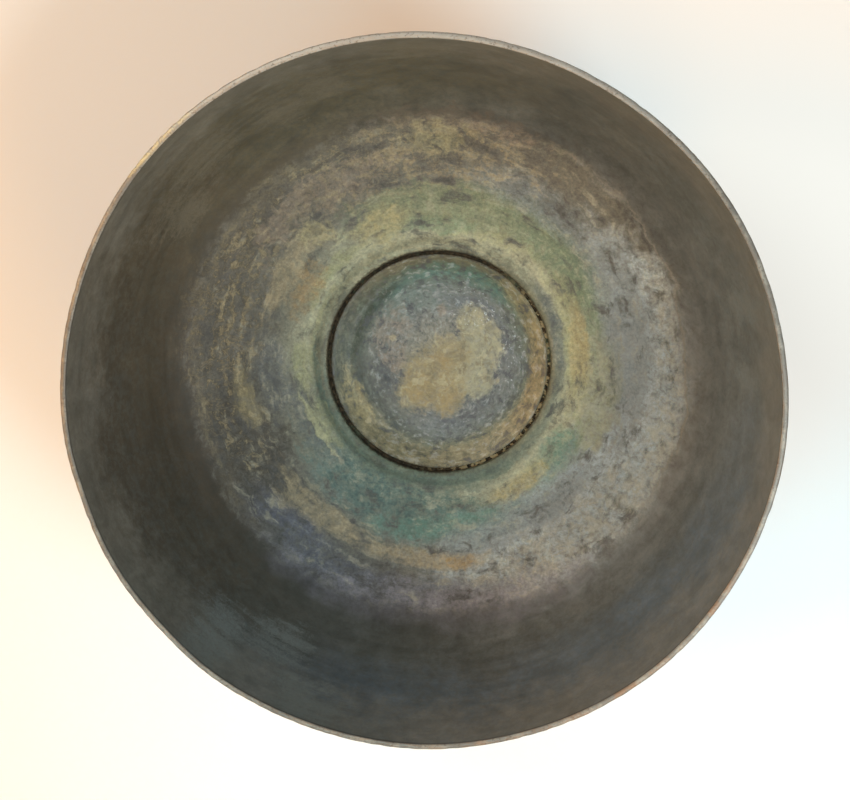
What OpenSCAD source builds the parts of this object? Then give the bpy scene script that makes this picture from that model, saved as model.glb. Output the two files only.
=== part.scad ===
// Hammered copper bowl with a dished base disc and a ring foot, tinned inside.
// Millimetres, +Z up. The origin is the middle of the foot's rest face.

/* [Shell] */
// Diameter over the lip
rim_d = 250; // [244:1:256]
// Height from the table to the lip
bowl_h = 105; // [102:1:108]
// Thickness of the raised copper sheet
sheet_t = 1.4; // [1.2:0.1:1.6]
// Width of the lip, hammered thicker than the sheet
lip_t = 2.1; // [1.9:0.1:2.4]
// Height of the band that thickens towards the lip
lip_h = 6; // [5:0.5:8]
// Thickness of the tin inside
tin_t = 0.3; // [0.2:0.05:0.35]
// Radius at which the floor begins to turn up into the wall
turn_r = 88; // [85:1:91]
// Bend radius of the turn from floor to wall
turn_bend = 45; // [42:1:48]

/* [Opening and dish] */
// Radius of the round opening in the floor
opening_r = 45.2; // [44:0.2:45.6]
// Height of the opening's edge above the table
opening_z = 13.6; // [13.2:0.1:14.4]
// Width of the crack between the shell's edge and the disc
crack_w = 1.3; // [1:0.1:1.6]
// Width of the steep band round the disc
band_w = 4.2; // [3.6:0.2:4.6]
// Reach of the flange lapped under the shell
lap_w = 6.6; // [6:0.1:6.8]

/* [Foot] */
// Radius over the foot
foot_r = 64; // [64:0.5:67]
// Thickness of the foot's sheet
foot_t = 1.6; // [1.4:0.1:1.8]
// Width of the foot's flat rest face
rest_w = 1.8; // [1.4:0.1:1.8]

/* [Hidden] */
$fn = 120;

// Points along each arc of a profile
arc_steps = 7;

// A profile is a chain of arcs seen in section, [bend radius, slope at its far end].
// A positive bend hollows upwards and a negative one is a hump.
function arc_end(bend, from, to) = [bend * (sin(to) - sin(from)), bend * (cos(from) - cos(to))];
function arc_point(start, bend, from, to, depth) =
    start + arc_end(bend, from, to) + depth * [sin(to), -cos(to)];
function chain_end(start, from, arcs, i = 0) =
    i == len(arcs) ? start : chain_end(start + arc_end(arcs[i][0], from, arcs[i][1]), arcs[i][1], arcs, i + 1);
// The chain's points, set back from its upper face by depth
function chain(start, from, arcs, depth, i = 0) =
    i == len(arcs)
    ? [start + depth * [sin(from), -cos(from)]]
    : let (bend = arcs[i][0], to = arcs[i][1])
      concat(
          [for (k = [0:arc_steps - 1])
              arc_point(start, bend, from, from + (to - from) * k / arc_steps, depth)],
          chain(start + arc_end(bend, from, to), to, arcs, depth, i + 1)
      );
function reversed(points) = [for (i = [len(points) - 1:-1:0]) points[i]];
function band_points(start, from, arcs, near, far) =
    concat(chain(start, from, arcs, near), reversed(chain(start, from, arcs, far)));
// The bend that carries a slope from one angle to another over a radial distance
function bend_over(width, from, to) = width / (sin(to) - sin(from));

// The shell's upper face runs out from the opening: a hump, a valley, the floor, the turn and the wall.
edge_slope = 60;
ridge_slope = -25;
floor_slope = 12;
turn_slope = 27;
wall_slope = 68;
ridge_bend = -3;
valley_bend = 6;
// The tin stops this far below the lip
tin_drop = 0.7;
lip_bevel = 0.6;

rim_r = rim_d / 2;
edge_point = [opening_r, opening_z];
ridge_arcs = [[ridge_bend, ridge_slope], [valley_bend, floor_slope]];
floor_start = chain_end(edge_point, edge_slope, ridge_arcs);
floor_arcs = [[bend_over(turn_r - floor_start[0], floor_slope, turn_slope), turn_slope],
              [turn_bend, wall_slope]];
wall_start = chain_end(floor_start, floor_slope, floor_arcs);
wall_end = [rim_r - lip_t, bowl_h - tin_drop];
wall_chord = atan2(wall_end[1] - wall_start[1], wall_end[0] - wall_start[0]);
rim_slope = 2 * wall_chord - wall_slope;
wall_arc = [bend_over(wall_end[0] - wall_start[0], wall_slope, rim_slope), rim_slope];
shell_arcs = concat(ridge_arcs, floor_arcs, [wall_arc]);
shell_depth = tin_t + sheet_t;

// The disc's upper face runs out from its middle: a shallow hollow, a knee, the steep band and a shoulder.
hollow_slope = 5;
knee_slope = 31;
band_slope = 33;
knee_bend = 6;
shoulder_bend = -3;
shoulder_r = opening_r - crack_w;
flange_r = opening_r + lap_w;
rim_arcs = [[knee_bend, knee_slope],
            [bend_over(band_w, knee_slope, band_slope), band_slope],
            [shoulder_bend, 0]];
hollow_r = shoulder_r - chain_end([0, 0], hollow_slope, rim_arcs)[0];
dish_arcs = concat([[bend_over(hollow_r, 0, hollow_slope), hollow_slope]], rim_arcs);
valley_bottom = chain_end(edge_point, edge_slope, [[ridge_bend, ridge_slope], [valley_bend, 0]]);
flange_top = valley_bottom[1] - shell_depth;
dish_start = [0, flange_top + tin_t - chain_end([0, 0], 0, dish_arcs)[1]];

// The solder fills the lap from the crack to this slope on the far side of the hump
solder_slope = -19;
// How far the solder in the crack stands below the shell's edge
crack_depth = 0.75;
// Reach of the solder fillet outside the foot
fillet = 3;

// The foot's inner face starts flat on the table and sweeps in and up.
foot_bend = -9;
foot_top_slope = 98;
foot_arcs = [[foot_bend, foot_top_slope]];
foot_start = [foot_r - rest_w, 0];
foot_neck = chain_end(foot_start, 180, foot_arcs);
foot_top = opening_z + 4;
foot_lean = (foot_top - foot_neck[1]) / tan(foot_top_slope);

module shell_section(near, far) {
    polygon(band_points(edge_point, edge_slope, shell_arcs, near, far));
}

// Everything above the shell's underside, to trim what is soldered to it
module above_underside() {
    underside = chain(edge_point, edge_slope, shell_arcs, shell_depth);
    polygon(concat(underside, [[underside[0][0], bowl_h]]));
}

module lip_section() {
    inner_r = rim_r - lip_t + tin_t;
    outer_r = rim_r - lip_t + shell_depth;
    polygon([
        [inner_r, bowl_h - 2 * tin_drop],
        [inner_r, bowl_h - tin_t],
        [inner_r + tin_t, bowl_h],
        [rim_r - lip_bevel, bowl_h],
        [rim_r, bowl_h - lip_bevel],
        [rim_r, bowl_h - lip_h / 2],
        [outer_r - lip_h / tan(rim_slope) - 2 * tin_t, bowl_h - lip_h]
    ]);
}

module foot_section() {
    inner = chain(foot_start, 180, foot_arcs, 0);
    outer = chain(foot_start, 180, foot_arcs, foot_t);
    inner_top = [inner[len(inner) - 1][0] + foot_lean, foot_top];
    outer_top = [outer[len(outer) - 1][0] + foot_lean, foot_top];
    difference() {
        polygon(concat([[foot_r, 0]], inner, [inner_top, outer_top], reversed(outer), [[foot_r, foot_t]]));
        above_underside();
    }
}

module dish_section() {
    polygon(concat(
        chain(dish_start, 0, dish_arcs, tin_t),
        [[flange_r, flange_top], [flange_r, flange_top - sheet_t]],
        reversed(chain(dish_start, 0, dish_arcs, shell_depth))
    ));
}

module bowl_body() {
    color("#6b4a33") rotate_extrude() {
        shell_section(tin_t, shell_depth);
        difference() {
            lip_section();
            shell_section(0, tin_t);
        }
    }
}

module shell_tin() {
    color("#5a5a55") rotate_extrude() shell_section(0, tin_t);
}

module base_dish() {
    color("#7a5536") rotate_extrude() dish_section();
}

module dish_tin() {
    color("#7d7960") rotate_extrude() polygon(band_points(dish_start, 0, dish_arcs, 0, tin_t));
}

module dish_solder() {
    lap_arcs = [[ridge_bend, ridge_slope], [valley_bend, solder_slope]];
    underside = chain(edge_point, edge_slope, lap_arcs, shell_depth);
    last = underside[len(underside) - 1];
    color("#2c241c") rotate_extrude() polygon(concat(
        [[last[0], flange_top], [shoulder_r, flange_top], [shoulder_r, flange_top + tin_t]],
        [edge_point + crack_depth * [sin(edge_slope), -cos(edge_slope)]],
        underside
    ));
}

module foot_ring() {
    color("#6b4a33") rotate_extrude() foot_section();
}

// One ring fills the gap between flange and foot, the other is a fillet outside the foot
module foot_solder() {
    inner_low = [flange_r, flange_top - sheet_t / 2];
    outer_low = [foot_neck[0], flange_top - fillet / 2];
    color("#8c8a84") rotate_extrude() difference() {
        union() {
            polygon([inner_low, inner_low + [fillet, 0], inner_low + [fillet, fillet], inner_low + [0, fillet]]);
            polygon([outer_low, outer_low + [foot_t, 0], outer_low + [2 * fillet, 1.5 * fillet],
                     outer_low + [0, 1.5 * fillet]]);
        }
        foot_section();
        above_underside();
        shell_section(0, shell_depth);
    }
}

bowl_body();
shell_tin();
base_dish();
dish_tin();
dish_solder();
foot_ring();
foot_solder();
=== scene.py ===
"""Looks for the hammered copper bowl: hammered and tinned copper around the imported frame."""
import math

import bmesh
import bpy
import numpy as np
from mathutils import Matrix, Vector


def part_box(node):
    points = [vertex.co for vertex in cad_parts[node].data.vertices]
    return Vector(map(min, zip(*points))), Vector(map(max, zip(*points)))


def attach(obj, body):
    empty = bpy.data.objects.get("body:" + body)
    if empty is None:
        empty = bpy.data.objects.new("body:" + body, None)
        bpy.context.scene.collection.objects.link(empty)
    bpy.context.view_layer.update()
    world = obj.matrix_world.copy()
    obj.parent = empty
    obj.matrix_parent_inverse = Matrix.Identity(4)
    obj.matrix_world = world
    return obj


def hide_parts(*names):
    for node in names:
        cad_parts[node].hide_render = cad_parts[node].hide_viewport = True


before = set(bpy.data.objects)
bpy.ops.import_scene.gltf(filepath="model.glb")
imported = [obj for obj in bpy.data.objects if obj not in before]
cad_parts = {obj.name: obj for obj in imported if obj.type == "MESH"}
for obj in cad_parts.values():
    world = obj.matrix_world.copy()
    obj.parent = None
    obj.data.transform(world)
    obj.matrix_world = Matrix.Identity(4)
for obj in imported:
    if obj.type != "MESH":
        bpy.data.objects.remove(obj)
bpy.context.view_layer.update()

MM = 0.001
TURN = 2 * math.pi


# ---------------------------------------------------------------- sizes, in millimetres
_, shell_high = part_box("bowl_body")
_, foot_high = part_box("foot_ring")
RIM_R = shell_high[0] / MM
RIM_Z = shell_high[2] / MM
FOOT_R = foot_high[0] / MM
SHEET = 1.4
TIN = 0.3
LIP = 2.1
OPENING_R = 45.2
OPENING_Z = 13.6
CRACK = 1.3
FLANGE_R = 51.8
FOOT_SHEET = 1.6
REST = 1.8

# where the floor starts to turn up, the width of the disc's rising band, and how far below the rim
# the wall's own arc stops
TURN_R = 88.0
BAND_W = 4.2
LIP_DROP = 0.7

# bend radii of the section, with a minus where it bends down or back
EDGE_BEND = -3.0
VALLEY_BEND = 6.0
KNEE_BEND = -3.0
TURN_BEND = 45.0
FOOT_BEND = -9.0

# slopes of the section in degrees, 0 level and 90 straight up
EDGE_SLOPE = 60.0
RIDGE_SLOPE = -25.0
FLOOR_SLOPE = 12.0
TURN_SLOPE = 27.0
WALL_SLOPE = 68.0
HOLLOW_SLOPE = 5.0
KNEE_SLOPE = 31.0
BAND_SLOPE = 33.0
FOOT_SLOPE = 98.0

# hammer blows: how far apart they fall, how wide each one is, and how deep it goes
SHEET_SPACING, SHEET_REACH, SHEET_DENT = 8.2, 5.6, 0.52
DISC_SPACING, DISC_REACH, DISC_DENT = 6.6, 4.6, 0.22
FOOT_SPACING, FOOT_REACH, FOOT_DENT = 6.4, 4.4, 0.20


# ---------------------------------------------------------------- sections
def sin(degrees):
    return math.sin(math.radians(degrees))


def cos(degrees):
    return math.cos(math.radians(degrees))


def bend_over(width, start, end):
    """The bend radius that carries a slope from start to end over a radial width."""
    return width / (sin(end) - sin(start))


class Section:
    """A chain of arcs in section, each a bend radius and the slope at its far end."""

    def __init__(self, start, slope, arcs):
        self.start, self.slope, self.arcs = start, slope, arcs

    def end(self):
        r, z, _ = self.points(step=1e9)[-1]
        return r, z

    def points(self, step, depth=0.0):
        """Radius, height and slope along the chain, set back by depth, about step apart."""
        r, z = self.start
        slope = self.slope
        found = []
        for bend, last in self.arcs:
            count = max(4, round(abs(bend * math.radians(last - slope)) / step))
            for k in range(count):
                here = slope + (last - slope) * k / count
                out, up = sin(here) - sin(slope), cos(slope) - cos(here)
                found.append((r + bend * out, z + bend * up, here))
            r += bend * (sin(last) - sin(slope))
            z += bend * (cos(slope) - cos(last))
            slope = last
        found.append((r, z, slope))
        return [(pr + depth * sin(a), pz - depth * cos(a), a) for pr, pz, a in found]


edge = (OPENING_R, OPENING_Z)
ridge = [(EDGE_BEND, RIDGE_SLOPE), (VALLEY_BEND, FLOOR_SLOPE)]
ridge_end = Section(edge, EDGE_SLOPE, ridge).end()
floor = [(bend_over(TURN_R - ridge_end[0], FLOOR_SLOPE, TURN_SLOPE), TURN_SLOPE), (TURN_BEND, WALL_SLOPE)]
wall_foot = Section(ridge_end, FLOOR_SLOPE, floor).end()
wall_head = (RIM_R - LIP, RIM_Z - LIP_DROP)
wall_run = wall_head[0] - wall_foot[0]
# an arc's chord slopes at the mean of its two ends
rim_slope = 2 * math.degrees(math.atan2(wall_head[1] - wall_foot[1], wall_run)) - WALL_SLOPE
wall = [(bend_over(wall_run, WALL_SLOPE, rim_slope), rim_slope)]
SHELL = Section(edge, EDGE_SLOPE, ridge + floor + wall)

SHOULDER_R = OPENING_R - CRACK
band = (bend_over(BAND_W, KNEE_SLOPE, BAND_SLOPE), BAND_SLOPE)
dish_rim = [(VALLEY_BEND, KNEE_SLOPE), band, (KNEE_BEND, 0.0)]
hollow_r = SHOULDER_R - Section((0.0, 0.0), HOLLOW_SLOPE, dish_rim).end()[0]
dish_arcs = [(bend_over(hollow_r, 0.0, HOLLOW_SLOPE), HOLLOW_SLOPE)] + dish_rim
to_valley = Section(edge, EDGE_SLOPE, [(EDGE_BEND, RIDGE_SLOPE), (VALLEY_BEND, 0.0)])
FLANGE_Z = to_valley.end()[1] - SHEET - TIN
dish_z = FLANGE_Z + TIN - Section((0.0, 0.0), 0.0, dish_arcs).end()[1]
DISH = Section((0.0, dish_z), 0.0, dish_arcs)


# ---------------------------------------------------------------- hammer work
def waves(seed, count, turns, length):
    """A smooth random field of angle and distance along a section, from -1 to 1."""
    random = np.random.default_rng(seed)
    around = random.integers(1, turns + 1, count)
    along = random.normal(0.0, TURN / length, count)
    phase = random.uniform(0.0, TURN, count)
    weight = random.uniform(0.4, 1.0, count) / math.sqrt(count)

    def field(angle, distance):
        total = np.zeros(np.broadcast(angle, distance).shape)
        for m, q, p, w in zip(around, along, phase, weight):
            total += w * np.sin(m * angle + q * distance + p)
        return total

    return field


def hammer_blows(section, spacing, seed):
    """Blow centres in courses round a section: x, y, z, and each blow's own strength."""
    random = np.random.default_rng(seed)
    centres = []
    for r, z, _ in section.points(spacing)[1:-1]:
        count = max(6, round(TURN * r / (spacing * 1.08)))
        shift = random.uniform(0.0, TURN)
        for k in range(count):
            angle = shift + TURN * (k + random.uniform(-0.26, 0.26)) / count
            reach = r + random.uniform(-0.24, 0.24) * spacing
            lift = z + random.uniform(-0.24, 0.24) * spacing
            strength = random.uniform(0.55, 1.0)
            centres.append((reach * math.cos(angle), reach * math.sin(angle), lift, strength))
    return np.array(centres)


def dent_depth(angle, radius, height, blows, reach):
    """How deep each point lies in its nearest blow, 1 at the bottom and 0 at the edge."""
    points = np.stack([radius * np.cos(angle), radius * np.sin(angle), height], 2).reshape(-1, 3)
    depth = np.empty(len(points))
    for first in range(0, len(points), 2000):
        part = points[first:first + 2000]
        gap = ((part[:, None, :] - blows[None, :, :3]) ** 2).sum(2)
        near = np.argmin(gap, axis=1)
        nearest = gap[np.arange(len(part)), near]
        depth[first:first + 2000] = blows[near, 3] * np.clip(1.0 - nearest / reach ** 2, 0.0, 1.0)
    return depth.reshape(radius.shape)


# The rim has gone slightly out of round, most at the lower left.
flats = waves(5, 14, 9, 90.0)


def out_of_round(radius, height, angle):
    """The radius once the wall has been knocked a little inwards, more towards the lip."""
    grip = np.clip((height - 45.0) / (RIM_Z - 45.0), 0.0, 1.0) ** 1.5
    knock = np.clip(0.30 + 0.45 * flats(angle, 0.0), 0.0, 1.0)
    corner = 0.9 * np.exp(-((angle - math.radians(222.0)) / 0.16) ** 2)
    corner += 0.5 * np.exp(-((angle - math.radians(196.0)) / 0.10) ** 2)
    return radius - grip * np.clip(knock + corner, 0.0, 1.6)


# ---------------------------------------------------------------- mesh making
def lathe(name, profile, turns, shift=None):
    """A closed ring swept round +Z from a closed profile of (radius, height, slope).

    shift(angle, radius, height, slope) gives each point's new radius and height, and may also give how
    deep the point lies in a hammer blow.
    """
    rings = np.array(profile, dtype=float)
    angle = np.linspace(0.0, TURN, turns, endpoint=False)[:, None]
    radius = np.broadcast_to(rings[None, :, 0], (turns, len(rings))).copy()
    height = np.broadcast_to(rings[None, :, 1], (turns, len(rings))).copy()
    blow = np.zeros(radius.shape)
    if shift:
        moved = shift(np.broadcast_to(angle, radius.shape), radius, height, rings[None, :, 2])
        radius, height = moved[:2]
        blow = moved[2] if len(moved) > 2 else blow
    x = radius * np.cos(angle)
    y = radius * np.sin(angle)
    points = np.stack([x, y, height], 2).reshape(-1, 3) * MM
    count = len(rings)
    here = np.arange(turns)[:, None] * count
    there = ((np.arange(turns) + 1) % turns)[:, None] * count
    inner = np.arange(count)[None, :]
    outer = ((np.arange(count) + 1) % count)[None, :]
    quads = np.stack([here + inner, there + inner, there + outer, here + outer], 2).reshape(-1, 4)
    return solid(name, points, quads, blow)


def solid(name, points, faces, blow):
    """A mesh piece, with how deep each point lies in a hammer blow as the attribute blow."""
    mesh = bpy.data.meshes.new(name)
    mesh.from_pydata(points.tolist(), [], faces.tolist())
    mesh.attributes.new("blow", "FLOAT", "POINT").data.foreach_set("value", blow.ravel())
    work = bmesh.new()
    work.from_mesh(mesh)
    # where a section reaches the axis, its ring is one point
    on_axis = [v for v in work.verts if math.hypot(v.co.x, v.co.y) < 1e-6]
    bmesh.ops.remove_doubles(work, verts=on_axis, dist=1e-6)
    bmesh.ops.recalc_face_normals(work, faces=work.faces)
    work.to_mesh(mesh)
    work.free()
    mesh.shade_smooth()
    piece = bpy.data.objects.new(name, mesh)
    bpy.context.collection.objects.link(piece)
    return piece


# ---------------------------------------------------------------- the pieces
wobble = waves(11, 16, 22, 38.0)
ripple = waves(23, 18, 60, 14.0)
nicks = waves(31, 26, 150, 5.0)
crumbs = waves(37, 40, 240, 3.0)
DISH_BLOWS = hammer_blows(DISH, DISC_SPACING, 53)
SHEET_BLOWS = hammer_blows(SHELL, SHEET_SPACING, 41)


def copper_shell():
    """The raised sheet: hidden face, thickened lip, hammered outer face and the turned edge."""
    under = SHELL.points(step=1.25, depth=SHEET + TIN)
    upper = SHELL.points(step=4.0, depth=TIN)
    lip = [
        (RIM_R - LIP - 0.10, RIM_Z - 0.58, 84.0),
        (RIM_R - LIP + 0.02, RIM_Z - 0.22, 60.0),
        (RIM_R - LIP + 0.50, RIM_Z, 0.0),
        (RIM_R - 1.05, RIM_Z - 0.02, 0.0),
        (RIM_R - 0.55, RIM_Z - 0.16, -30.0),
        (RIM_R - 0.18, RIM_Z - 0.50, -60.0),
        (RIM_R - 0.02, RIM_Z - 1.0, -85.0),
        (RIM_R, RIM_Z - 1.6, -90.0),
        (RIM_R - 0.03, RIM_Z - 2.4, -90.0),
        (RIM_R - 0.14, RIM_Z - 3.3, -90.0),
        (RIM_R - 0.34, RIM_Z - 4.4, -90.0),
        (RIM_R - 0.62, RIM_Z - 5.6, -90.0),
    ]
    kept = [p for p in under if p[1] < RIM_Z - 6.6]
    profile = upper + lip + kept[::-1]
    first_under = len(upper) + len(lip)

    def shift(angle, radius, height, slope):
        dent = dent_depth(angle, radius, height, SHEET_BLOWS, SHEET_REACH)
        outside = np.zeros(radius.shape[1])
        outside[first_under:] = 1.0
        outside[len(upper) + 8:first_under] = [0.3, 0.6, 0.9, 1.0]
        # the ring round the foot is left smooth, where the solder holds
        clear = np.clip((radius - 60.0) / 4.0, 0.0, 1.0)
        push = (SHEET_DENT * dent + 0.10 * (1 + wobble(angle, height))) * outside * clear
        tilt = np.radians(slope)
        radius = radius - push * np.sin(tilt) * np.where(slope < 0, -1, 1)
        height = height + push * np.cos(tilt) * np.where(slope < 0, 0, 1)
        on_lip = np.zeros(radius.shape[1])
        on_lip[len(upper):first_under] = [0, 0.3, 0.6, 1, 1, 1, 1, 0.8, 0.6, 0.4, 0.2, 0.1]
        nick = np.clip(0.5 + 0.9 * nicks(angle, 0.0 * height), 0.0, 1.3)
        sway = np.clip(0.5 + 0.5 * wobble(angle, 0.0 * height), 0.0, 1.0)
        height = height - 0.13 * on_lip * nick - 0.20 * on_lip * sway
        radius = radius - 0.16 * on_lip * np.clip(nicks(angle + 2.0, 0.0 * height), 0.0, 1.2)
        return out_of_round(radius, height, angle), height, dent

    return lathe("copper_shell", profile, 630, shift)


def wall_tin():
    """Tin on the shell, from the crack to just under the lip."""
    face = SHELL.points(step=1.15)
    back = SHELL.points(step=6.0, depth=TIN)[::-1]
    profile = face + back

    def shift(angle, radius, height, slope):
        front = np.zeros(radius.shape[1])
        front[2:len(face) - 1] = 1.0
        dent = dent_depth(angle, radius, height, SHEET_BLOWS, SHEET_REACH)
        # only soft traces of the blows come through, and none of them sinks below the copper
        swell = 0.05 * (1 + wobble(angle, height)) + 0.03 * (1 + ripple(angle, height))
        drop = front * (0.05 * (1 - dent) + swell)
        tilt = np.radians(slope)
        radius = radius + drop * np.sin(tilt)
        height = height - drop * np.cos(tilt)
        return out_of_round(radius, height, angle), height

    return lathe("wall_tin", profile, 630, shift)


def disc_copper():
    """The dished disc and its flange. Its upper face shows only at the crack."""
    face = DISH.points(step=2.5, depth=TIN)
    flange = [
        (FLANGE_R - 0.3, FLANGE_Z, 0.0),
        (FLANGE_R, FLANGE_Z - 0.3, -90.0),
        (FLANGE_R, FLANGE_Z - SHEET + 0.3, -90.0),
        (FLANGE_R - 0.3, FLANGE_Z - SHEET, 0.0),
    ]
    back = DISH.points(step=1.0, depth=SHEET + TIN)[::-1]
    first = len(face) + len(flange)

    def shift(angle, radius, height, slope):
        dent = dent_depth(angle, radius, height, DISH_BLOWS, DISC_REACH)
        below = np.zeros(radius.shape[1])
        below[first:] = 1.0
        fade = np.clip((SHOULDER_R - radius) / 1.5, 0.0, 1.0)
        return radius, height + DISC_DENT * below * fade * dent, dent

    return lathe("disc_copper", face + flange + back, 480, shift)


def disc_tin():
    """Tin on the disc, out to the crack."""
    face = DISH.points(step=0.7)
    back = DISH.points(step=4.0, depth=TIN)[::-1]

    def shift(angle, radius, height, slope):
        front = np.zeros(radius.shape[1])
        front[:len(face) - 2] = 1.0
        dent = dent_depth(angle, radius, height, DISH_BLOWS, DISC_REACH)
        drop = front * (0.07 * (1 - dent) + 0.04 * (1 + wobble(angle, radius)))
        return radius, height - drop

    return lathe("disc_tin", face + back, 640, shift)


def between(start, end, count, slope):
    """Points on the way from start to end, leaving out start."""
    steps = [k / count for k in range(1, count + 1)]
    return [(start[0] + (end[0] - start[0]) * k, start[1] + (end[1] - start[1]) * k, slope) for k in steps]


def crack_solder():
    """The solder in the lap. Its top lies low in the crack, and lumps of dirt stand in it."""
    under = Section(edge, EDGE_SLOPE, [(EDGE_BEND, RIDGE_SLOPE), (VALLEY_BEND, -19.0)])
    lap = under.points(step=0.35, depth=SHEET + TIN)
    far_r = lap[-1][0]
    floor_run = [(r, FLANGE_Z, 180.0) for r in np.linspace(far_r, SHOULDER_R + 0.05, 9)]
    side = [(SHOULDER_R, FLANGE_Z + 0.12, 90.0), (SHOULDER_R, FLANGE_Z + TIN - 0.05, 90.0)]
    crack_depth = 0.75
    far = (OPENING_R + crack_depth * sin(EDGE_SLOPE), OPENING_Z - crack_depth * cos(EDGE_SLOPE))
    top = between((SHOULDER_R, FLANGE_Z + TIN), far, 9, 200.0)
    first = len(floor_run) + len(side)

    def shift(angle, radius, height, slope):
        rise = np.zeros(radius.shape[1])
        rise[first:first + len(top) - 1] = np.sin(np.linspace(0.25, math.pi - 0.25, len(top) - 1))
        beads = np.clip(crumbs(angle, radius * 6.0), -0.6, 1.0)
        # the lumps are highest at the lower right
        broken = 0.5 + 0.5 * np.cos(angle - math.radians(335.0))
        lumps = broken * np.clip(crumbs(angle + 1.0, radius), 0, 1)
        return radius, height + rise * (0.16 * beads + 0.30 * lumps)

    return lathe("crack_solder", floor_run + side + top + lap, 1440, shift)


def foot():
    """The flared foot, hammered outside, with a rubbed rest face."""
    sweep = Section((FOOT_R - REST, 0.0), 180.0, [(FOOT_BEND, FOOT_SLOPE)])
    inner = sweep.points(step=0.8)
    outer = sweep.points(step=0.8, depth=FOOT_SHEET)
    lean = math.tan(math.radians(FOOT_SLOPE - 90.0))
    # straight up from the sweep to the underside of the shell, which is a little higher further out
    rise_in, rise_out = 4.55, 4.85
    seat_in = (inner[-1][0] - rise_in * lean, inner[-1][1] + rise_in)
    seat_out = (outer[-1][0] - rise_out * lean, outer[-1][1] + rise_out)
    straight_in = between(inner[-1], seat_in, 4, FOOT_SLOPE)
    straight_out = between(outer[-1], seat_out, 4, FOOT_SLOPE)[::-1]
    hem = [
        (FOOT_R - 0.5, FOOT_SHEET, 90.0),
        (FOOT_R - 0.12, FOOT_SHEET - 0.18, 45.0),
        (FOOT_R, FOOT_SHEET - 0.55, 0.0),
        (FOOT_R, 0.5, 0.0),
        (FOOT_R - 0.12, 0.16, -45.0),
        (FOOT_R - 0.5, 0.0, -90.0),
    ]
    profile = inner + straight_in + straight_out + outer[::-1] + hem
    first = len(inner) + len(straight_in)
    courses = Section((FOOT_R - 0.8, 0.6), 180.0, [(FOOT_BEND, FOOT_SLOPE), (-500.0, 97.3)])
    blows = hammer_blows(courses, FOOT_SPACING, 77)

    def shift(angle, radius, height, slope):
        dent = dent_depth(angle, radius, height, blows, FOOT_REACH)
        outside = np.zeros(radius.shape[1])
        outside[first:] = 1.0
        hold = np.clip((12.0 - height) / 2.0, 0.0, 1.0) * np.clip((height - 0.2) / 1.0, 0.0, 1.0)
        push = outside * hold * (FOOT_DENT * dent + 0.05 * (1 + ripple(angle, height)))
        hem_wear = 0.20 * np.clip(nicks(angle, 0.0 * height), 0.0, 1.0) * (radius > FOOT_R - 0.6)
        return radius - push - hem_wear, height, dent

    return lathe("foot", profile, 540, shift)


def solder_fillets():
    """Two rings of solder at the foot: one fills the gap to the flange, one is the fillet outside."""
    neck = FOOT_R - REST + FOOT_BEND * sin(FOOT_SLOPE)
    low_r = neck + FOOT_SHEET - 0.45
    # out from the first radius, up from the flange, and 1 where the surface is lumpy
    inner = [(0, -0.7, 0), (0.35, -0.62, 0), (0.8, -0.7, 0), (0.75, -0.1, 0), (0.4, -0.04, 0), (0, -0.05, 0)]
    outer = [(0, -1.45, 0), (0.35, -0.95, 1), (0.95, -0.30, 1), (1.75, 0.30, 1)]
    outer += [(2.75, 0.82, 0), (1.6, 0.62, 0), (0.5, 0.36, 0), (-0.18, 0.2, 0)]

    def placed(start, listed):
        return [(start + out, FLANGE_Z + up, lumpy) for out, up, lumpy in listed]

    def shift(angle, radius, height, lumpy):
        lump = 0.12 * crumbs(angle, 3.0 * radius) * lumpy
        return radius + lump, height - lump

    fillet_in = lathe("fillet_in", placed(FLANGE_R, inner), 360)
    fillet_out = lathe("solder_fillets", placed(low_r, outer), 720, shift)
    rings = [fillet_in, fillet_out]
    with bpy.context.temp_override(active_object=fillet_out, selected_editable_objects=rings):
        bpy.ops.object.join()
    return fillet_out


def stand_for(piece, node):
    """Puts a piece in the place of a CAD node."""
    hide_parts(node)
    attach(piece, "root")
    return piece


shell = stand_for(copper_shell(), "bowl_body")
tin = stand_for(wall_tin(), "shell_tin")
disc = stand_for(disc_copper(), "base_dish")
disc_skin = stand_for(disc_tin(), "dish_tin")
solder = stand_for(crack_solder(), "dish_solder")
ring_foot = stand_for(foot(), "foot_ring")
fillets = stand_for(solder_fillets(), "foot_solder")


# ---------------------------------------------------------------- painting with nodes
def srgb(red, green, blue):
    """A colour given as it looks, 0 to 255, as the linear one that a shader takes."""
    looks = [value / 255 for value in (red, green, blue)]
    return (*[v / 12.92 if v < 0.0405 else ((v + 0.055) / 1.055) ** 2.4 for v in looks], 1.0)


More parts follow.
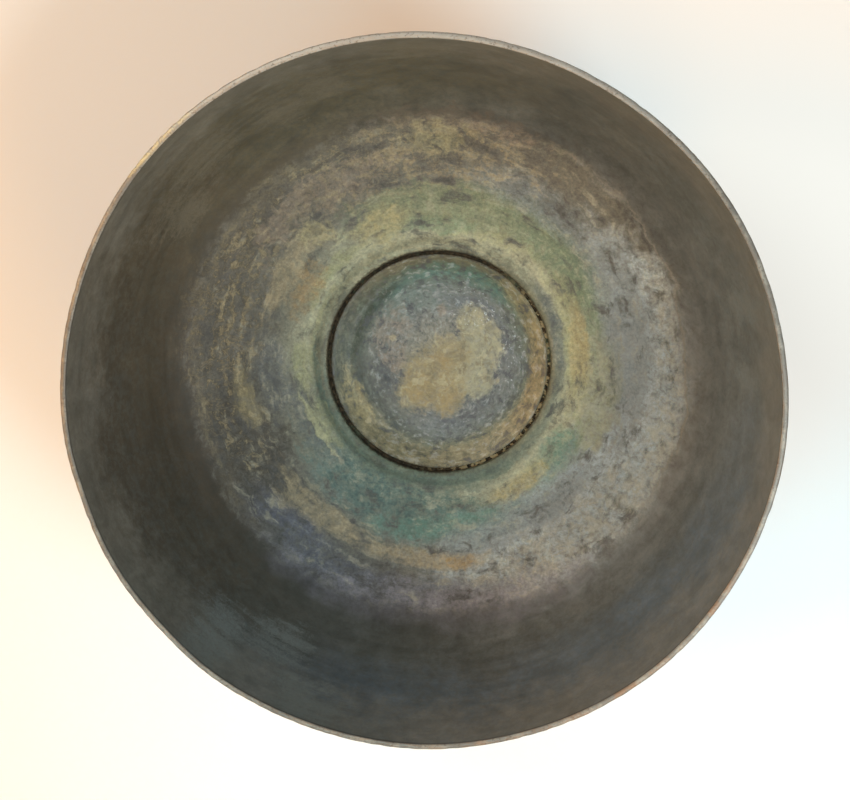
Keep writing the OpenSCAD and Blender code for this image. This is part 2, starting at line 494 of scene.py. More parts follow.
class Paint:
    """A material's node tree. Lengths are in millimetres, and nearly every method gives back a socket."""

    def __init__(self, name):
        self.material = bpy.data.materials.new(name)
        self.material.use_nodes = True
        self.tree = self.material.node_tree
        self.shader = self.tree.nodes["Principled BSDF"]
        place = self.tree.nodes.new("ShaderNodeTexCoord").outputs["Object"]
        self.place = self.vector("SCALE", place, scale=1 / MM)
        self.true_radius = self.vector("LENGTH", self.vector("MULTIPLY", self.place, (1.0, 1.0, 0.0)))

    def node(self, kind, inputs, output=0, **settings):
        node = self.tree.nodes.new(kind)
        for name, value in settings.items():
            setattr(node, name, value)
        for name, value in inputs.items():
            if isinstance(value, bpy.types.NodeSocket):
                self.tree.links.new(value, node.inputs[name])
            elif value is not None:
                node.inputs[name].default_value = value
        return node.outputs[output]

    def math(self, operation, a, b=None, c=None):
        return self.node("ShaderNodeMath", {0: a, 1: b, 2: c}, operation=operation)

    def vector(self, operation, a, b=None, c=None, scale=None):
        output = "Value" if operation in ("DOT_PRODUCT", "LENGTH") else "Vector"
        inputs = {0: a, 1: b, 2: c, "Scale": scale}
        return self.node("ShaderNodeVectorMath", inputs, output, operation=operation)

    def noise(self, size, detail=6.0, rough=0.62, twist=0.0, at=None):
        """Noise whose largest marks are about size across, spread out to run from 0 to 1."""
        inputs = {"Vector": at or self.place, "Scale": 1 / size, "Detail": detail, "Roughness": rough}
        grey = self.node("ShaderNodeTexNoise", {**inputs, "Distortion": twist})
        return self.node("ShaderNodeMapRange", {0: grey, 1: 0.31, 2: 0.69})

    def drift(self, size, reach, detail=3.0):
        """A vector that wanders by about reach over a distance of size."""
        inputs = {"Vector": self.place, "Scale": 1 / size, "Detail": detail, "Roughness": 0.6}
        colour = self.node("ShaderNodeTexNoise", inputs, "Color")
        return self.vector("SCALE", self.vector("SUBTRACT", colour, (0.5, 0.5, 0.5)), scale=2.0 * reach)

    def curl(self, size, warp, detail=7.0, rough=0.66):
        """Noise pulled about into curls."""
        at = self.vector("ADD", self.place, self.drift(size * 1.8, warp))
        return self.noise(size, detail, rough, 0.6, at)

    def rise(self, value, low, high, start=0.0, end=1.0):
        """A smooth step from start to end as value goes from low to high."""
        inputs = {0: value, 1: low, 2: high, 3: start, 4: end}
        return self.node("ShaderNodeMapRange", inputs, interpolation_type="SMOOTHSTEP")

    def near(self, value, middle, width):
        """1 where value is at middle, falling smoothly to 0 at width to each side."""
        away = self.math("ABSOLUTE", self.math("SUBTRACT", value, middle))
        return self.rise(away, 0.0, width, 1.0, 0.0)

    def times(self, *factors):
        total = factors[0]
        for factor in factors[1:]:
            total = self.math("MULTIPLY", total, factor)
        return total

    def most(self, *values):
        """The largest of some values."""
        found = values[0]
        for value in values[1:]:
            found = self.math("MAXIMUM", found, value)
        return found

    def blend(self, a, b, share):
        """Two textures added, the first weighted by share and the second by what is left."""
        return self.math("MULTIPLY_ADD", a, share, self.times(b, 1.0 - share))

    def stir(self, texture, amount, value):
        """A value made uneven by a texture."""
        return self.math("MULTIPLY_ADD", texture, amount, value)

    def towards(self, angle, radius):
        """How far out a point lies towards a side, as a share of radius."""
        return self.vector("DOT_PRODUCT", self.place, (cos(angle) / radius, sin(angle) / radius, 0.0))

    def height(self):
        return self.vector("DOT_PRODUCT", self.place, (0.0, 0.0, 1.0))

    def mix(self, amount, a, b):
        node = self.tree.nodes.new("ShaderNodeMix")
        node.data_type = "RGBA"
        for socket, value in ((node.inputs[0], amount), (node.inputs[6], a), (node.inputs[7], b)):
            if isinstance(value, bpy.types.NodeSocket):
                self.tree.links.new(value, socket)
            else:
                socket.default_value = value
        return node.outputs[2]

    def ramp(self, value, stops):
        """Colours by value, from a list of (value, colour) stops."""
        low, high = stops[0][0], stops[-1][0]
        ramp = self.tree.nodes.new("ShaderNodeValToRGB")
        elements = ramp.color_ramp.elements
        for k, (at, colour) in enumerate(stops):
            element = elements[k] if k < 2 else elements.new(1.0)
            element.position = (at - low) / (high - low)
            element.color = srgb(*colour)
        self.tree.links.new(self.node("ShaderNodeMapRange", {0: value, 1: low, 2: high}), ramp.inputs[0])
        return ramp.outputs[0]

    def wander(self, slow, quick):
        """Lets what is painted by radius and side wander, so that its edges come out ragged."""
        moved = self.vector("ADD", self.place, self.drift(26.0, slow))
        moved = self.vector("ADD", moved, self.drift(6.0, quick, 6.0))
        level = self.vector("MULTIPLY", moved, (1.0, 1.0, 0.0))
        self.radius = self.vector("LENGTH", level)
        self.facing = self.vector("NORMALIZE", level)
        up = self.vector("SCALE", (0.0, 0.0, 1.0), scale=self.radius)
        self.around = self.vector("ADD", self.facing, up)
        self.square = self.math("MULTIPLY", self.radius, self.radius)
        self.thin = self.rise(self.noise(2.6, 5.0, 0.7, 0.5), 0.15, 0.75, 0.45, 1.0)

    def strokes(self, size, stretch, detail=6.0, rough=0.64):
        """Noise drawn out round the axis: size wide, and at 70 mm out stretch times as long."""
        lined = self.vector("MULTIPLY", self.around, (70.0 / stretch, 70.0 / stretch, 1.0))
        return self.noise(size, detail, rough, 0.0, lined)

    def zone(self, angle, radius, spread, width, texture, ragged, soft):
        """A patch about a point of the bowl: spread degrees to each side, and width out and in.

        The cover falls off with distance from the middle, and a texture breaks it up.
        """
        turn = 1 / (1 - cos(spread))
        out = 1 / width ** 2
        # the third part of around is the radius, so one product gives both terms
        towards = (turn * cos(angle), turn * sin(angle), 2 * radius * out)
        near = self.vector("DOT_PRODUCT", self.around, towards)
        near = self.math("MULTIPLY_ADD", self.square, -out, near)
        near = self.stir(texture, ragged, near)
        edge = turn + radius ** 2 * out + 0.5 * ragged - 1.0
        return self.rise(near, edge - soft / 2, edge + soft)

    def spot(self, x, y, size, texture, ragged, soft):
        """A round patch about a point, with size as its radius, broken up by a texture."""
        away = self.vector("SUBTRACT", self.place, (x, y, 0.0))
        away = self.vector("MULTIPLY", away, (1 / size, 1 / size, 0.0))
        near = self.math("MULTIPLY", self.vector("DOT_PRODUCT", away, away), -1.0)
        near = self.stir(texture, ragged, near)
        edge = 0.5 * ragged - 1.0
        return self.rise(near, edge - soft / 2, edge + soft)

    def cover(self, patches, texture, ragged, soft):
        """Where any of a list of patches lies: (angle, radius, spread, width) or (x, y, size)."""
        parts = [(self.zone if len(patch) == 4 else self.spot, patch) for patch in patches]
        return self.most(*[part(*patch, texture, ragged, soft) for part, patch in parts])

    def stains(self, colour, listed):
        """Lays stains over a colour, one after another, and gives back the colour and their covers.

        Each is (tint, patches, texture, ragged, soft, strength), some painted shade or light. All are thin
        in places.
        """
        covers = []
        for tint, patches, texture, ragged, soft, strength in listed:
            covers.append(self.times(self.cover(patches, texture, ragged, soft), self.thin, strength))
            colour = self.mix(covers[-1], colour, srgb(*tint))
        return colour, covers

    def shade(self, colour, *layers):
        """Brightens and darkens a colour by layers of (texture, amount), each even about its middle."""
        level = 1.0 - sum(amount for _, amount in layers) / 2
        for texture, amount in layers:
            level = self.stir(texture, amount, level)
        return self.vector("SCALE", colour, scale=level)

    def crack_dirt(self):
        """How dirty the two edges of the crack are: black at the left, and broken at the right."""
        side = self.rise(self.towards(-15, OPENING_R), -0.4, 0.7, 0.8, 0.0)
        kept = self.stir(self.noise(4.0, 4.0, 0.7), 0.5, side)
        return self.rise(kept, 0.1, 0.7, 0.05, 0.95)

    def attribute(self, name):
        return self.node("ShaderNodeAttribute", {}, "Fac", attribute_name=name)

    def set(self, name, value):
        self.tree.links.new(value, self.shader.inputs[name])

    def bump(self, *layers):
        """Raises the surface by layers of (texture, millimetres)."""
        height = self.times(layers[0][0], layers[0][1])
        for texture, amount in layers[1:]:
            height = self.stir(texture, amount, height)
        bumped = self.node("ShaderNodeBump", {"Strength": 1.0, "Distance": MM, "Height": height})
        self.set("Normal", bumped)


# ---------------------------------------------------------------- materials
def stained_tin():
    """Old tin on the shell: dull grey up the wall, and crusted with stains over the floor."""
    p = Paint("tin_dark")
    p.wander(4.0, 2.6)
    clouds = p.noise(20.0)
    blots = p.curl(9.0, 2.6, 9.0, 0.62)
    curls = p.curl(5.0, 1.6, 8.0, 0.66)
    strokes = p.strokes(2.6, 6.0)
    fine = p.noise(1.2, 4.0, 0.75)
    threads = p.near(p.curl(13.0, 4.0, 5.0, 0.6), 0.5, 0.06)
    blend = p.blend(strokes, blots, 0.5)
    on_floor = p.rise(p.radius, 95.0, 101.0, 1.0, 0.0)
    on_wall = p.rise(p.radius, 97.0, 104.0)

    colour = p.ramp(p.radius, [
        (45.0, (92, 92, 74)), (49.0, (126, 126, 103)), (52.0, (144, 144, 119)), (58.0, (142, 141, 116)),
        (66.0, (128, 127, 107)), (76.0, (116, 115, 102)), (88.0, (110, 107, 94)),
        (99.0, (108, 106, 94)), (104.0, (116, 117, 108)), (111.0, (126, 128, 120)),
        (117.0, (136, 138, 131)), (120.0, (158, 158, 148)), (123.0, (168, 168, 158))])

    # broad tints by side, then the rings of stain, then the crusts
    colour, _ = p.stains(colour, [
        ((182, 197, 199), [(353, 80, 48, 22), (316, 80, 54, 24)], blots, 1.0, 0.9, 0.95),
        ((104, 98, 84), [(105, 84, 60, 22)], clouds, 1.0, 0.8, 0.8),
        # the two darkest tints, at 180° and 206°, are partly the tin's own dark patina and partly painted
        # shade on the left and lower-left wall
        ((78, 74, 59), [(180, 86, 56, 26)], blots, 1.2, 0.8, 0.9),
        ((92, 93, 86), [(236, 84, 32, 22)], blots, 1.2, 0.8, 0.7),
        ((62, 56, 42), [(206, 84, 24, 19)], blots, 1.2, 1.0, 0.85),
        ((110, 128, 118), [(263, 60, 54, 18)], blots, 1.2, 0.8, 0.8),
        ((146, 153, 152), [(338, 113, 108, 19)], clouds, 0.7, 1.0, 1.0),
        ((164, 170, 166), [(16, 115, 48, 12)], clouds, 0.7, 1.2, 0.8),
        ((134, 152, 168), [(312, 119, 44, 9), (266, 120, 40, 8)], clouds, 0.7, 1.2, 0.8),
        ((148, 139, 112), [(122, 114, 62, 19)], clouds, 0.7, 1.0, 0.95),
        ((148, 149, 143), [(10, 104, 90, 8)], clouds, 0.9, 1.0, 0.6),
        ((116, 104, 86), [(190, 112, 58, 18)], clouds, 0.7, 1.0, 0.85),
        ((78, 72, 56), [(138, 94, 30, 9)], blots, 1.2, 1.0, 0.6)])
    colour = p.mix(p.rise(p.radius, 117.0, 122.0, 0.0, 0.45), colour, srgb(192, 188, 174))
    colour, _ = p.stains(colour, [
        ((166, 165, 134), [(112, 52.5, 80, 7), (312, 55, 64, 7)], blend, 1.4, 0.8, 0.85),
        ((152, 154, 112), [(78, 63, 46, 10), (10, 60, 36, 9), (350, 67, 22, 8)], blend, 2.0, 0.5, 0.75),
        ((100, 126, 100), [(38, 65, 26, 8), (322, 62, 16, 7), (96, 57, 24, 3)], strokes, 2.0, 0.8, 0.6),
        ((104, 116, 92), [(62, 66, 60, 9)], blots, 2.2, 0.5, 0.6),
        ((78, 100, 92), [(250, 58, 42, 13), (236, 50, 60, 5)], strokes, 2.2, 0.8, 0.95),
        ((90, 128, 112), [(263, 70, 14, 5), (284, 66, 14, 4), (325, 60, 9, 5)], blots, 2.2, 0.9, 0.7),
        ((122, 130, 128), [(12, 77, 34, 9), (58, 76, 24, 8), (300, 73, 28, 7)], blend, 2.0, 0.8, 0.7),
        ((94, 97, 106), [(258, 94, 42, 7), (228, 88, 14, 7)], blend, 1.6, 1.0, 0.75),
        ((88, 92, 90), [(186, 67, 16, 6), (16, 50, 24, 2.6), (200, 58, 24, 7)], blend, 2.0, 0.6, 0.75),
        ((142, 140, 144), [(280, 97, 38, 8), (250, 99, 22, 5)], clouds, 1.4, 1.0, 0.75)])
    colour = p.shade(colour, (blots, 0.34), (p.times(clouds, on_floor), 0.16))
    veil = p.times(p.rise(blend, 0.55, 0.85), on_floor, 0.5)
    colour = p.mix(veil, colour, srgb(162, 157, 130))
    worn = p.times(p.rise(blend, 0.44, 0.16), on_floor, 0.7)
    colour = p.mix(worn, colour, srgb(80, 80, 74))
    colour, crusts = p.stains(colour, [
        ((166, 156, 114), [(112, 60, 12, 7), (304, 59.5, 15, 4), (4, 58, 16, 4)], blend, 2.2, 0.9, 0.92),
        ((148, 150, 112), [(207, 54, 17, 4), (184, 55, 12, 4.5), (140, 57, 18, 3)], strokes, 2.2, 0.9, 0.87),
        ((158, 158, 122), [(165, 51.5, 26, 1.2), (188, 54.5, 22, 1.3), (207, 57.5, 16, 1.5)],
         strokes, 1.6, 0.8, 0.8),
        ((156, 134, 96), [(151, 61, 10, 6)], curls, 2.4, 0.9, 0.82),
        ((150, 140, 102), [(12, 59, 22, 3), (190, 79, 10, 5)], blend, 1.8, 1.0, 0.7),
        ((156, 144, 114), [(268, 80, 19, 4.5), (231, 78, 20, 6.5), (150, 70, 16, 5)], blend, 2.4, 0.9, 0.87),
        ((138, 124, 106), [(122, 82, 22, 7), (140, 84, 7, 5), (84, 97, 20, 5)], curls, 2.8, 0.9, 0.8),
        ((160, 152, 114), [(132.5, 72, 6, 6), (90, 90, 9, 7)], curls, 2.4, 0.9, 0.85),
        ((160, 136, 92), [(278, 81, 4, 3)], curls, 2.2, 0.9, 0.8)])
    colour, _ = p.stains(colour, [
        ((84, 76, 62), [(82, 91, 4, 3), (132.5, 72, 2, 2)], curls, 1.4, 0.7, 0.6)])

    # pale threads and flakes of scale, thickest at the right, and the scum line where the stain stops
    where = p.cover([(346, 92, 42, 6), (310, 86, 34, 9)], blots, 1.2, 0.9)
    scale = p.times(where, p.most(threads, p.rise(curls, 0.25, 0.85)))
    colour = p.mix(p.times(scale, 0.75), colour, srgb(184, 184, 166))
    where = p.cover([(168, 86, 40, 15), (104, 84, 46, 15)], blots, 1.6, 0.8)
    specks = p.blend(p.noise(2.6, 6.0, 0.7, 0.6), strokes, 0.6)
    flakes = p.times(where, p.most(p.times(threads, 0.5), p.rise(specks, 0.50, 0.72)))
    colour = p.mix(p.times(flakes, 0.8), colour, srgb(148, 136, 106))
    tide = p.times(p.near(p.radius, 96.0, 2.2), p.zone(176, 96, 44, 8, clouds, 0.8, 0.8))
    colour = p.mix(p.times(tide, p.rise(specks, 0.30, 0.70), 0.6), colour, srgb(126, 118, 92))
    scum = p.times(p.near(p.radius, 98.5, 2.6), p.rise(curls, 0.4, 0.8))
    rim_line = p.times(p.near(p.radius, 97.6, 0.9), p.zone(8, 97, 48, 8, clouds, 0.8, 0.8))
    scum = p.most(p.times(scum, 0.4), p.times(rim_line, p.rise(fine, 0.0, 0.6, 0.4, 0.9)))
    colour = p.mix(scum, colour, srgb(146, 143, 130))
    crust = p.most(*crusts, scale, flakes)

    # the wall has been wiped round, and is smeared in places
    upright = p.vector("MULTIPLY", p.place, (0.0, 0.0, 1.0))
    lined = p.vector("ADD", p.vector("SCALE", p.facing, scale=8.0), upright)
    wiped = p.noise(3.0, 6.0, 0.6, 0.0, lined)
    colour = p.shade(colour, (p.times(wiped, on_wall), 0.20), (p.times(clouds, on_wall), 0.16))
    scrapes = p.blend(p.noise(2.2, 6.0, 0.72, 1.5), wiped, 0.6)
    smears = [(241, 116, 6, 4), (230, 119, 5, 4), (250, 121, 7, 2), (16, 117, 3, 5), (3, 116, 2, 3)]
    colour = p.mix(p.times(p.cover(smears, scrapes, 3.4, 1.6), 0.8), colour, srgb(168, 176, 172))
    smears = [(118, 113, 5, 4), (109, 115, 4, 4), (92, 120, 6, 2), (134, 115, 7, 5), (146, 112, 6, 5)]
    colour = p.mix(p.times(p.cover(smears, scrapes, 3.4, 1.4), 0.6), colour, srgb(168, 160, 138))

    # painted shade: a dark line under the lip
    colour = p.mix(p.rise(p.height(), RIM_Z - 2.0, RIM_Z - 1.0, 0.0, 0.6), colour, srgb(48, 45, 38))

    # the turned edge by the crack: an olive tint, painted shade in the valley and on the ridge, and dirt at
    # the crack's edges
    colour = p.mix(p.rise(p.true_radius, 45.8, 48.4, 0.2, 0.0), colour, srgb(92, 92, 68))
    # painted shade: a dark ring in the valley outside the ridge, at the lower left
    valley_shade = p.times(p.near(p.true_radius, 50.2, 1.6), p.zone(245, 50, 76, 9, strokes, 1.4, 0.8))
    colour = p.mix(p.times(valley_shade, 0.4), colour, srgb(50, 60, 52))
    # painted shade, with a dark teal tint: the lower side of the ridge round the crack made darker
    dull = p.cover([(262, 48.5, 80, 6)], blend, 1.4, 1.0)
    colour = p.mix(p.times(dull, 0.65), colour, srgb(76, 86, 70))
    edge = p.rise(p.stir(fine, 1.4, p.true_radius), 46.9, 45.8)
    colour = p.mix(p.times(edge, p.crack_dirt()), colour, srgb(56, 47, 30))
    busy = p.times(on_floor, p.rise(p.zone(340, 84, 50, 24, clouds, 0.8, 0.9), 0.0, 1.0, 1.0, 0.45))
    colour = p.shade(colour, (p.times(fine, busy), 0.46), (fine, 0.10), (p.times(strokes, busy), 0.34))
    colour = p.shade(colour, (p.times(curls, busy), 0.26), (curls, 0.06))

    p.set("Base Color", colour)
    p.set("Metallic", p.rise(p.radius, 94.0, 106.0, 0.12, 0.42))
    rough = p.stir(wiped, 0.12, p.rise(p.radius, 95.0, 107.0, 0.58, 0.42))
    p.set("Roughness", p.stir(crust, 0.16, rough))
    p.bump((crust, 0.07), (p.times(curls, on_floor), 0.10), (p.times(fine, on_floor), 0.04), (wiped, 0.02))
    return p.material


def disc_tin_stain():
    """Old tin on the disc: slate with an ochre crust in the middle and a tan and green edge, partly painted
    light and shade.
    """
    p = Paint("tin_dish")
    p.wander(2.4, 1.8)
    blots = p.curl(6.5, 2.0, 9.0, 0.62)
    curls = p.curl(4.0, 1.4, 8.0, 0.66)
    strokes = p.strokes(1.8, 4.0)
    clouds = p.noise(14.0)
    fine = p.noise(1.0, 4.0, 0.75)
    blend = p.blend(strokes, blots, 0.5)

    colour = p.ramp(p.radius, [
        (0.0, (124, 120, 104)), (14.0, (116, 114, 102)), (20.0, (110, 111, 104)),
        (28.0, (108, 110, 101)), (34.0, (86, 91, 78)), (39.0, (90, 91, 71)), (44.0, (94, 90, 68))])
    colour, _ = p.stains(colour, [
        ((98, 112, 104), [(108, 29, 48, 9)], blend, 2.0, 0.7, 0.6),
        ((74, 102, 90), [(128, 36, 26, 4.5), (62, 37, 28, 4), (96, 38, 26, 3.5)], blend, 2.2, 0.6, 0.75),
        # dark olive at the left edge: partly olive stain, partly painted shade where the dish's rising edge
        # faces away from the light
        ((50, 56, 40), [(174, 40, 60, 7), (152, 37, 44, 6)], blend, 1.2, 0.9, 1.0),
        ((102, 104, 102), [(350, 27, 60, 8), (285, 26, 46, 8), (55, 27, 40, 8)], strokes, 2.2, 0.6, 0.7),
        ((80, 83, 84), [(300, 24, 34, 5), (36, 26, 44, 5), (196, 22, 26, 6)], blend, 2.4, 0.5, 0.7),
        ((66, 72, 64), [(216, 33, 44, 5)], blend, 1.6, 0.9, 0.85),
        ((74, 72, 62), [(208, 24, 46, 13)], blend, 1.2, 1.0, 0.5),
        # the tan band at the lower and right edge: partly tan stain, partly painted light where the dish's
        # rising edge faces the light
        ((132, 124, 95), [(290, 39.5, 60, 6.5), (345, 40.5, 44, 4.5), (226, 39, 42, 5.5)],
         blend, 2.0, 1.3, 0.85),
        ((138, 126, 88), [(32, 41, 26, 4), (206, 38, 18, 4)], blend, 2.0, 0.9, 0.6),
        ((128, 116, 100), [(150, 24, 24, 7), (176, 19, 22, 5), (85, 21, 6, 3)], curls, 2.2, 0.7, 0.7)])
    colour = p.shade(colour, (blots, 0.30), (strokes, 0.46))
    colour = p.mix(p.times(p.rise(blend, 0.44, 0.18), 0.75), colour, srgb(70, 72, 73))
    at_left = p.zone(178, 38, 60, 9, clouds, 0.6, 0.9)
    pale = p.times(p.rise(strokes, 0.62, 0.90), p.rise(at_left, 0.0, 1.0, 0.55, 0.0))
    colour = p.mix(pale, colour, srgb(140, 142, 136))
    colour, crusts = p.stains(colour, [
        ((160, 156, 126), [(16, 8, 10), (13, 16, 7), (13, -5, 11)], blend, 1.5, 0.7, 1.0),
        ((150, 138, 102), [(-2, -6, 13), (-9, -13, 9), (3, -15, 8), (4, 1, 10)], blend, 1.5, 0.9, 1.0),
        ((156, 134, 88), [(-6, -11, 10), (3, -15, 7), (0, -2, 6)], blots, 1.6, 1.2, 0.6),
        ((178, 166, 130), [(-10, -9, 1.6), (-19, 9, 1.5), (-29, -25, 1.3)], fine, 1.6, 0.6, 0.7)])
    crust = p.most(*crusts)
    marks = p.times(p.rise(p.curl(7.0, 1.6), 0.46, 0.16), crust)
    colour = p.mix(p.times(marks, 0.7), colour, srgb(112, 100, 76))
    marks = p.times(p.rise(p.curl(5.0, 1.4, 7.0, 0.6), 0.58, 0.84), crust)
    colour = p.mix(p.times(marks, 0.6), colour, srgb(176, 168, 134))

    # bright spots where the tin is still bare, glossier and more metallic, their pale colour also a painted
    # highlight
    where = p.cover([(60, 26, 26, 8), (8, 31, 26, 4)], curls, 1.6, 0.8)
    bare_tin_and_glints = p.times(p.rise(p.strokes(0.9, 3.0, 3.0), 0.76, 0.94), where)
    colour = p.mix(p.times(bare_tin_and_glints, 0.85), colour, srgb(196, 202, 200))
    edge = p.rise(p.stir(fine, 1.8, p.true_radius), 43.5, 45.2)
    colour = p.mix(p.times(edge, p.crack_dirt()), colour, srgb(48, 40, 26))
    swirl = p.times(p.strokes(1.1, 9.0, 5.0), p.rise(crust, 0.0, 1.0, 1.0, 0.4))
    grain = p.times(fine, p.rise(crust, 0.0, 1.0, 1.0, 0.5))
    colour = p.shade(colour, (grain, 0.26), (curls, 0.24), (swirl, 0.42))

    p.set("Base Color", colour)
    p.set("Metallic", p.stir(bare_tin_and_glints, 0.5, 0.18))
    p.set("Roughness", p.math("ADD", p.stir(crust, 0.14, 0.50), p.times(bare_tin_and_glints, -0.28)))
    p.bump((crust, 0.06), (curls, 0.09), (fine, 0.05))
    return p.material


def old_copper(name, base, lip_wear_and_glints=False):
    """Brown copper, brighter where the hammer blows meet. The lip, if asked for, is rubbed bare, with
    painted highlights.
    """
    p = Paint(name)
    clouds = p.noise(24.0, 5.0, 0.6)
    curls = p.curl(5.0, 3.0, 6.0)
    fine = p.noise(1.1, 4.0, 0.7)
    ridges = p.rise(p.attribute("blow"), 0.20, 0.0)
    colour = p.mix(p.rise(clouds, 0.3, 0.7), srgb(*base), srgb(78, 50, 39))
    colour = p.mix(p.rise(curls, 0.50, 0.90, 0.0, 0.55), colour, srgb(138, 84, 54))
    colour = p.mix(p.rise(curls, 0.45, 0.10, 0.0, 0.65), colour, srgb(48, 36, 31))
    rubbed = p.times(ridges, p.rise(p.noise(9.0, 4.0), 0.30, 0.80, 0.10, 0.55))
    colour = p.mix(rubbed, colour, srgb(176, 112, 74))
    green = p.times(p.rise(fine, 0.80, 1.0), p.rise(clouds, 0.4, 0.8, 0.1, 0.7))
    colour = p.mix(green, colour, srgb(96, 118, 94))
    rough = p.stir(rubbed, -0.10, p.rise(curls, 0.0, 1.0, 0.50, 0.34))
    metal = p.rise(curls, 0.0, 0.3, 0.70, 0.85)
    if lip_wear_and_glints:
        bare = p.rise(p.stir(curls, 1.2, p.height()), RIM_Z - 1.9, RIM_Z - 0.9)
        tint = p.mix(p.rise(p.noise(7.0, 5.0, 0.7), 0.35, 0.75), srgb(118, 115, 106), srgb(142, 137, 124))
        # painted highlight: a narrow golden glint on the lip at the upper left, on the side of the light
        painted_glint = p.times(p.rise(p.towards(134, RIM_R), 0.976, 0.992), p.rise(curls, 0.2, 0.6), 0.8)
        tint = p.mix(painted_glint, tint, srgb(204, 190, 136))
        # painted highlight: the lip made paler towards +Y, where a whitish glint runs along its top
        tint = p.mix(p.rise(p.towards(90, RIM_R), 0.5, 1.0, 0.0, 0.7), tint, srgb(186, 184, 174))
        # coppery at the lower right: worn copper, and also a painted reflection of the warm light from that
        # side
        side = p.rise(p.towards(305, RIM_R), 0.80, 0.98, 0.1, 0.8)
        copper = p.times(side, p.rise(p.noise(11.0, 4.0, 0.7), 0.35, 0.75))
        tint = p.mix(copper, tint, srgb(138, 108, 82))
        tint = p.mix(p.rise(fine, 0.40, 0.10, 0.0, 0.6), tint, srgb(84, 74, 60))
        tint = p.mix(p.rise(p.true_radius, RIM_R - 0.9, RIM_R - 0.1, 0.0, 0.45), tint, srgb(92, 80, 64))
        colour = p.mix(bare, colour, tint)
        rough = p.mix(bare, rough, p.rise(fine, 0.0, 1.0, 0.50, 0.62))
        metal = p.rise(bare, 0.0, 1.0, 0.85, 0.45)
    p.set("Base Color", colour)
    p.set("Metallic", metal)
    p.set("Roughness", rough)
    p.bump((fine, 0.03), (curls, 0.05))
    return p.material


def dirty_solder():
    """Dark solder in the crack, with tan crumbs on the right-hand side."""
    p = Paint("solder_dirty")
    crumb = p.noise(1.4, 5.0, 0.7, 0.4)
    colour = p.mix(p.rise(crumb, 0.25, 0.95), srgb(26, 23, 16), srgb(60, 50, 34))
    side = p.rise(p.towards(-20, OPENING_R), 0.0, 0.8, 0.0, 0.95)
    lumps = p.times(p.rise(p.noise(2.2, 3.0, 0.6), 0.45, 0.65), side)
    colour = p.mix(lumps, colour, srgb(126, 114, 84))
    colour = p.mix(p.rise(p.noise(9.0, 4.0), 0.65, 0.9, 0.0, 0.4), colour, srgb(58, 72, 56))
    p.set("Base Color", colour)
    p.shader.inputs["Metallic"].default_value = 0.0
    p.shader.inputs["Specular IOR Level"].default_value = 0.1
    p.set("Roughness", p.rise(crumb, 0.0, 1.0, 0.85, 0.6))
    p.bump((crumb, 0.2))
    return p.material


def grey_solder():
    """Lumpy grey solder round the foot, browned in places."""
    p = Paint("solder_grey")
    lump = p.noise(2.6, 5.0, 0.6, 0.3)
    colour = p.mix(p.rise(lump, 0.15, 0.85), srgb(108, 106, 100), srgb(160, 158, 152))
    colour = p.mix(p.rise(p.noise(7.0, 5.0), 0.5, 0.9, 0.0, 0.7), colour, srgb(92, 78, 60))
    p.set("Base Color", colour)
    p.shader.inputs["Metallic"].default_value = 0.8
    p.set("Roughness", p.rise(lump, 0.0, 1.0, 0.40, 0.60))
    p.bump((lump, 0.12))
    return p.material


for piece, material in (
    (shell, old_copper("copper_old", (104, 66, 46), lip_wear_and_glints=True)),
    (tin, stained_tin()),
    (disc, old_copper("copper_dish", (118, 80, 54))),
    (disc_skin, disc_tin_stain()),
    (solder, dirty_solder()),
    (ring_foot, old_copper("copper_foot", (112, 74, 50))),
    (fillets, grey_solder()),
):
    piece.data.materials.append(material)


# ---------------------------------------------------------------- camera, floor and light
# The view is from above, a little off the axis towards +X and +Y, and the picture's top is +Y.
camera_data = bpy.data.cameras.new("camera")
camera = bpy.data.objects.new("camera", camera_data)
bpy.context.collection.objects.link(camera)
camera_data.sensor_width = 36.0
camera_data.lens = 59.3
camera.location = (0.0478, 0.0979, 0.569)
camera.rotation_euler = (math.radians(-11.48), math.radians(5.47), 0.0)
bpy.context.scene.camera = camera
bpy.context.scene.view_settings.view_transform = "Standard"


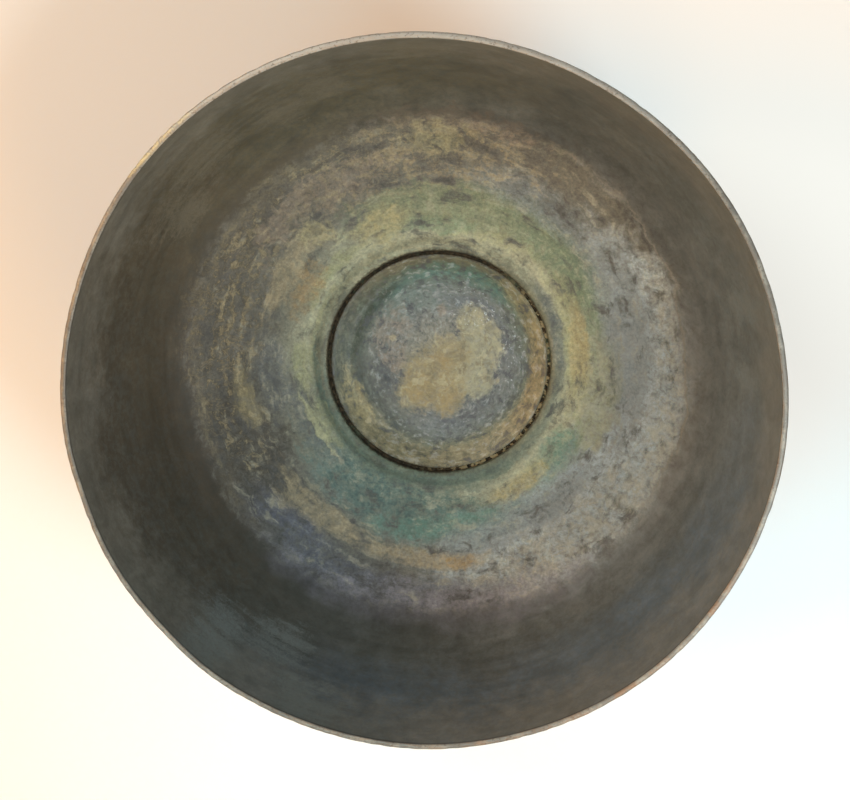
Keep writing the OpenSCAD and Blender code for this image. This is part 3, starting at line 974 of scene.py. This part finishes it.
def plain(name, colour, roughness):
    """A material of one colour."""
    material = bpy.data.materials.new(name)
    material.use_nodes = True
    shader = material.node_tree.nodes["Principled BSDF"]
    shader.inputs["Base Color"].default_value = (*colour, 1)
    shader.inputs["Roughness"].default_value = roughness
    return material


floor_mesh = bpy.data.meshes.new("floor")
floor_mesh.from_pydata([(-4, -4, 0), (4, -4, 0), (4, 4, 0), (-4, 4, 0)], [], [(0, 1, 2, 3)])
ground = bpy.data.objects.new("floor", floor_mesh)
bpy.context.collection.objects.link(ground)
floor_mesh.materials.append(plain("pale_floor", (0.79, 0.78, 0.73), 0.8))


def soft_light(name, azimuth, height, distance, target, size, power, colour, spread=180.0):
    """A round soft light off at an azimuth and a height in degrees. A small spread lights one side only."""
    data = bpy.data.lights.new(name, "AREA")
    data.shape = "DISK"
    data.size = size
    data.energy = power
    data.color = colour
    data.spread = math.radians(spread)
    lamp = bpy.data.objects.new(name, data)
    bpy.context.collection.objects.link(lamp)
    away = distance * np.array([cos(azimuth) * cos(height), sin(azimuth) * cos(height), sin(height)])
    lamp.location = away + (0.0, 0.0, 0.05)
    aim = np.array(target) - np.array(lamp.location)
    tilt = math.atan2(math.hypot(aim[0], aim[1]), -aim[2])
    lamp.rotation_euler = (tilt, 0.0, math.atan2(aim[1], aim[0]) - math.pi / 2)


soft_light("ceiling", 135, 40, 1.2, (0.0, 0.0, 0.05), 0.6, 7.4, (0.96, 1.0, 1.0))
soft_light("lamp", 180, 40, 1.2, (0.0, 0.0, 0.05), 0.6, 8.6, (1.0, 0.41, 0.02))
soft_light("wall_bounce", 300, 40, 1.2, (0.0, 0.0, 0.05), 0.6, 6.2, (1.0, 0.52, 0.16))
soft_light("window", 330, 45, 1.1, (0.16, -0.10, 0.0), 0.5, 1.7, (0.70, 0.88, 1.0), 60)
soft_light("window_left", 225, 45, 1.2, (0.05, -0.28, 0.0), 0.5, 0.6, (0.05, 0.67, 1.0), 50)

world = bpy.data.worlds.new("studio")
world.use_nodes = True
world.node_tree.nodes["Background"].inputs["Color"].default_value = (1.0, 1.0, 1.0, 1.0)
world.node_tree.nodes["Background"].inputs["Strength"].default_value = 0.15
bpy.context.scene.world = world
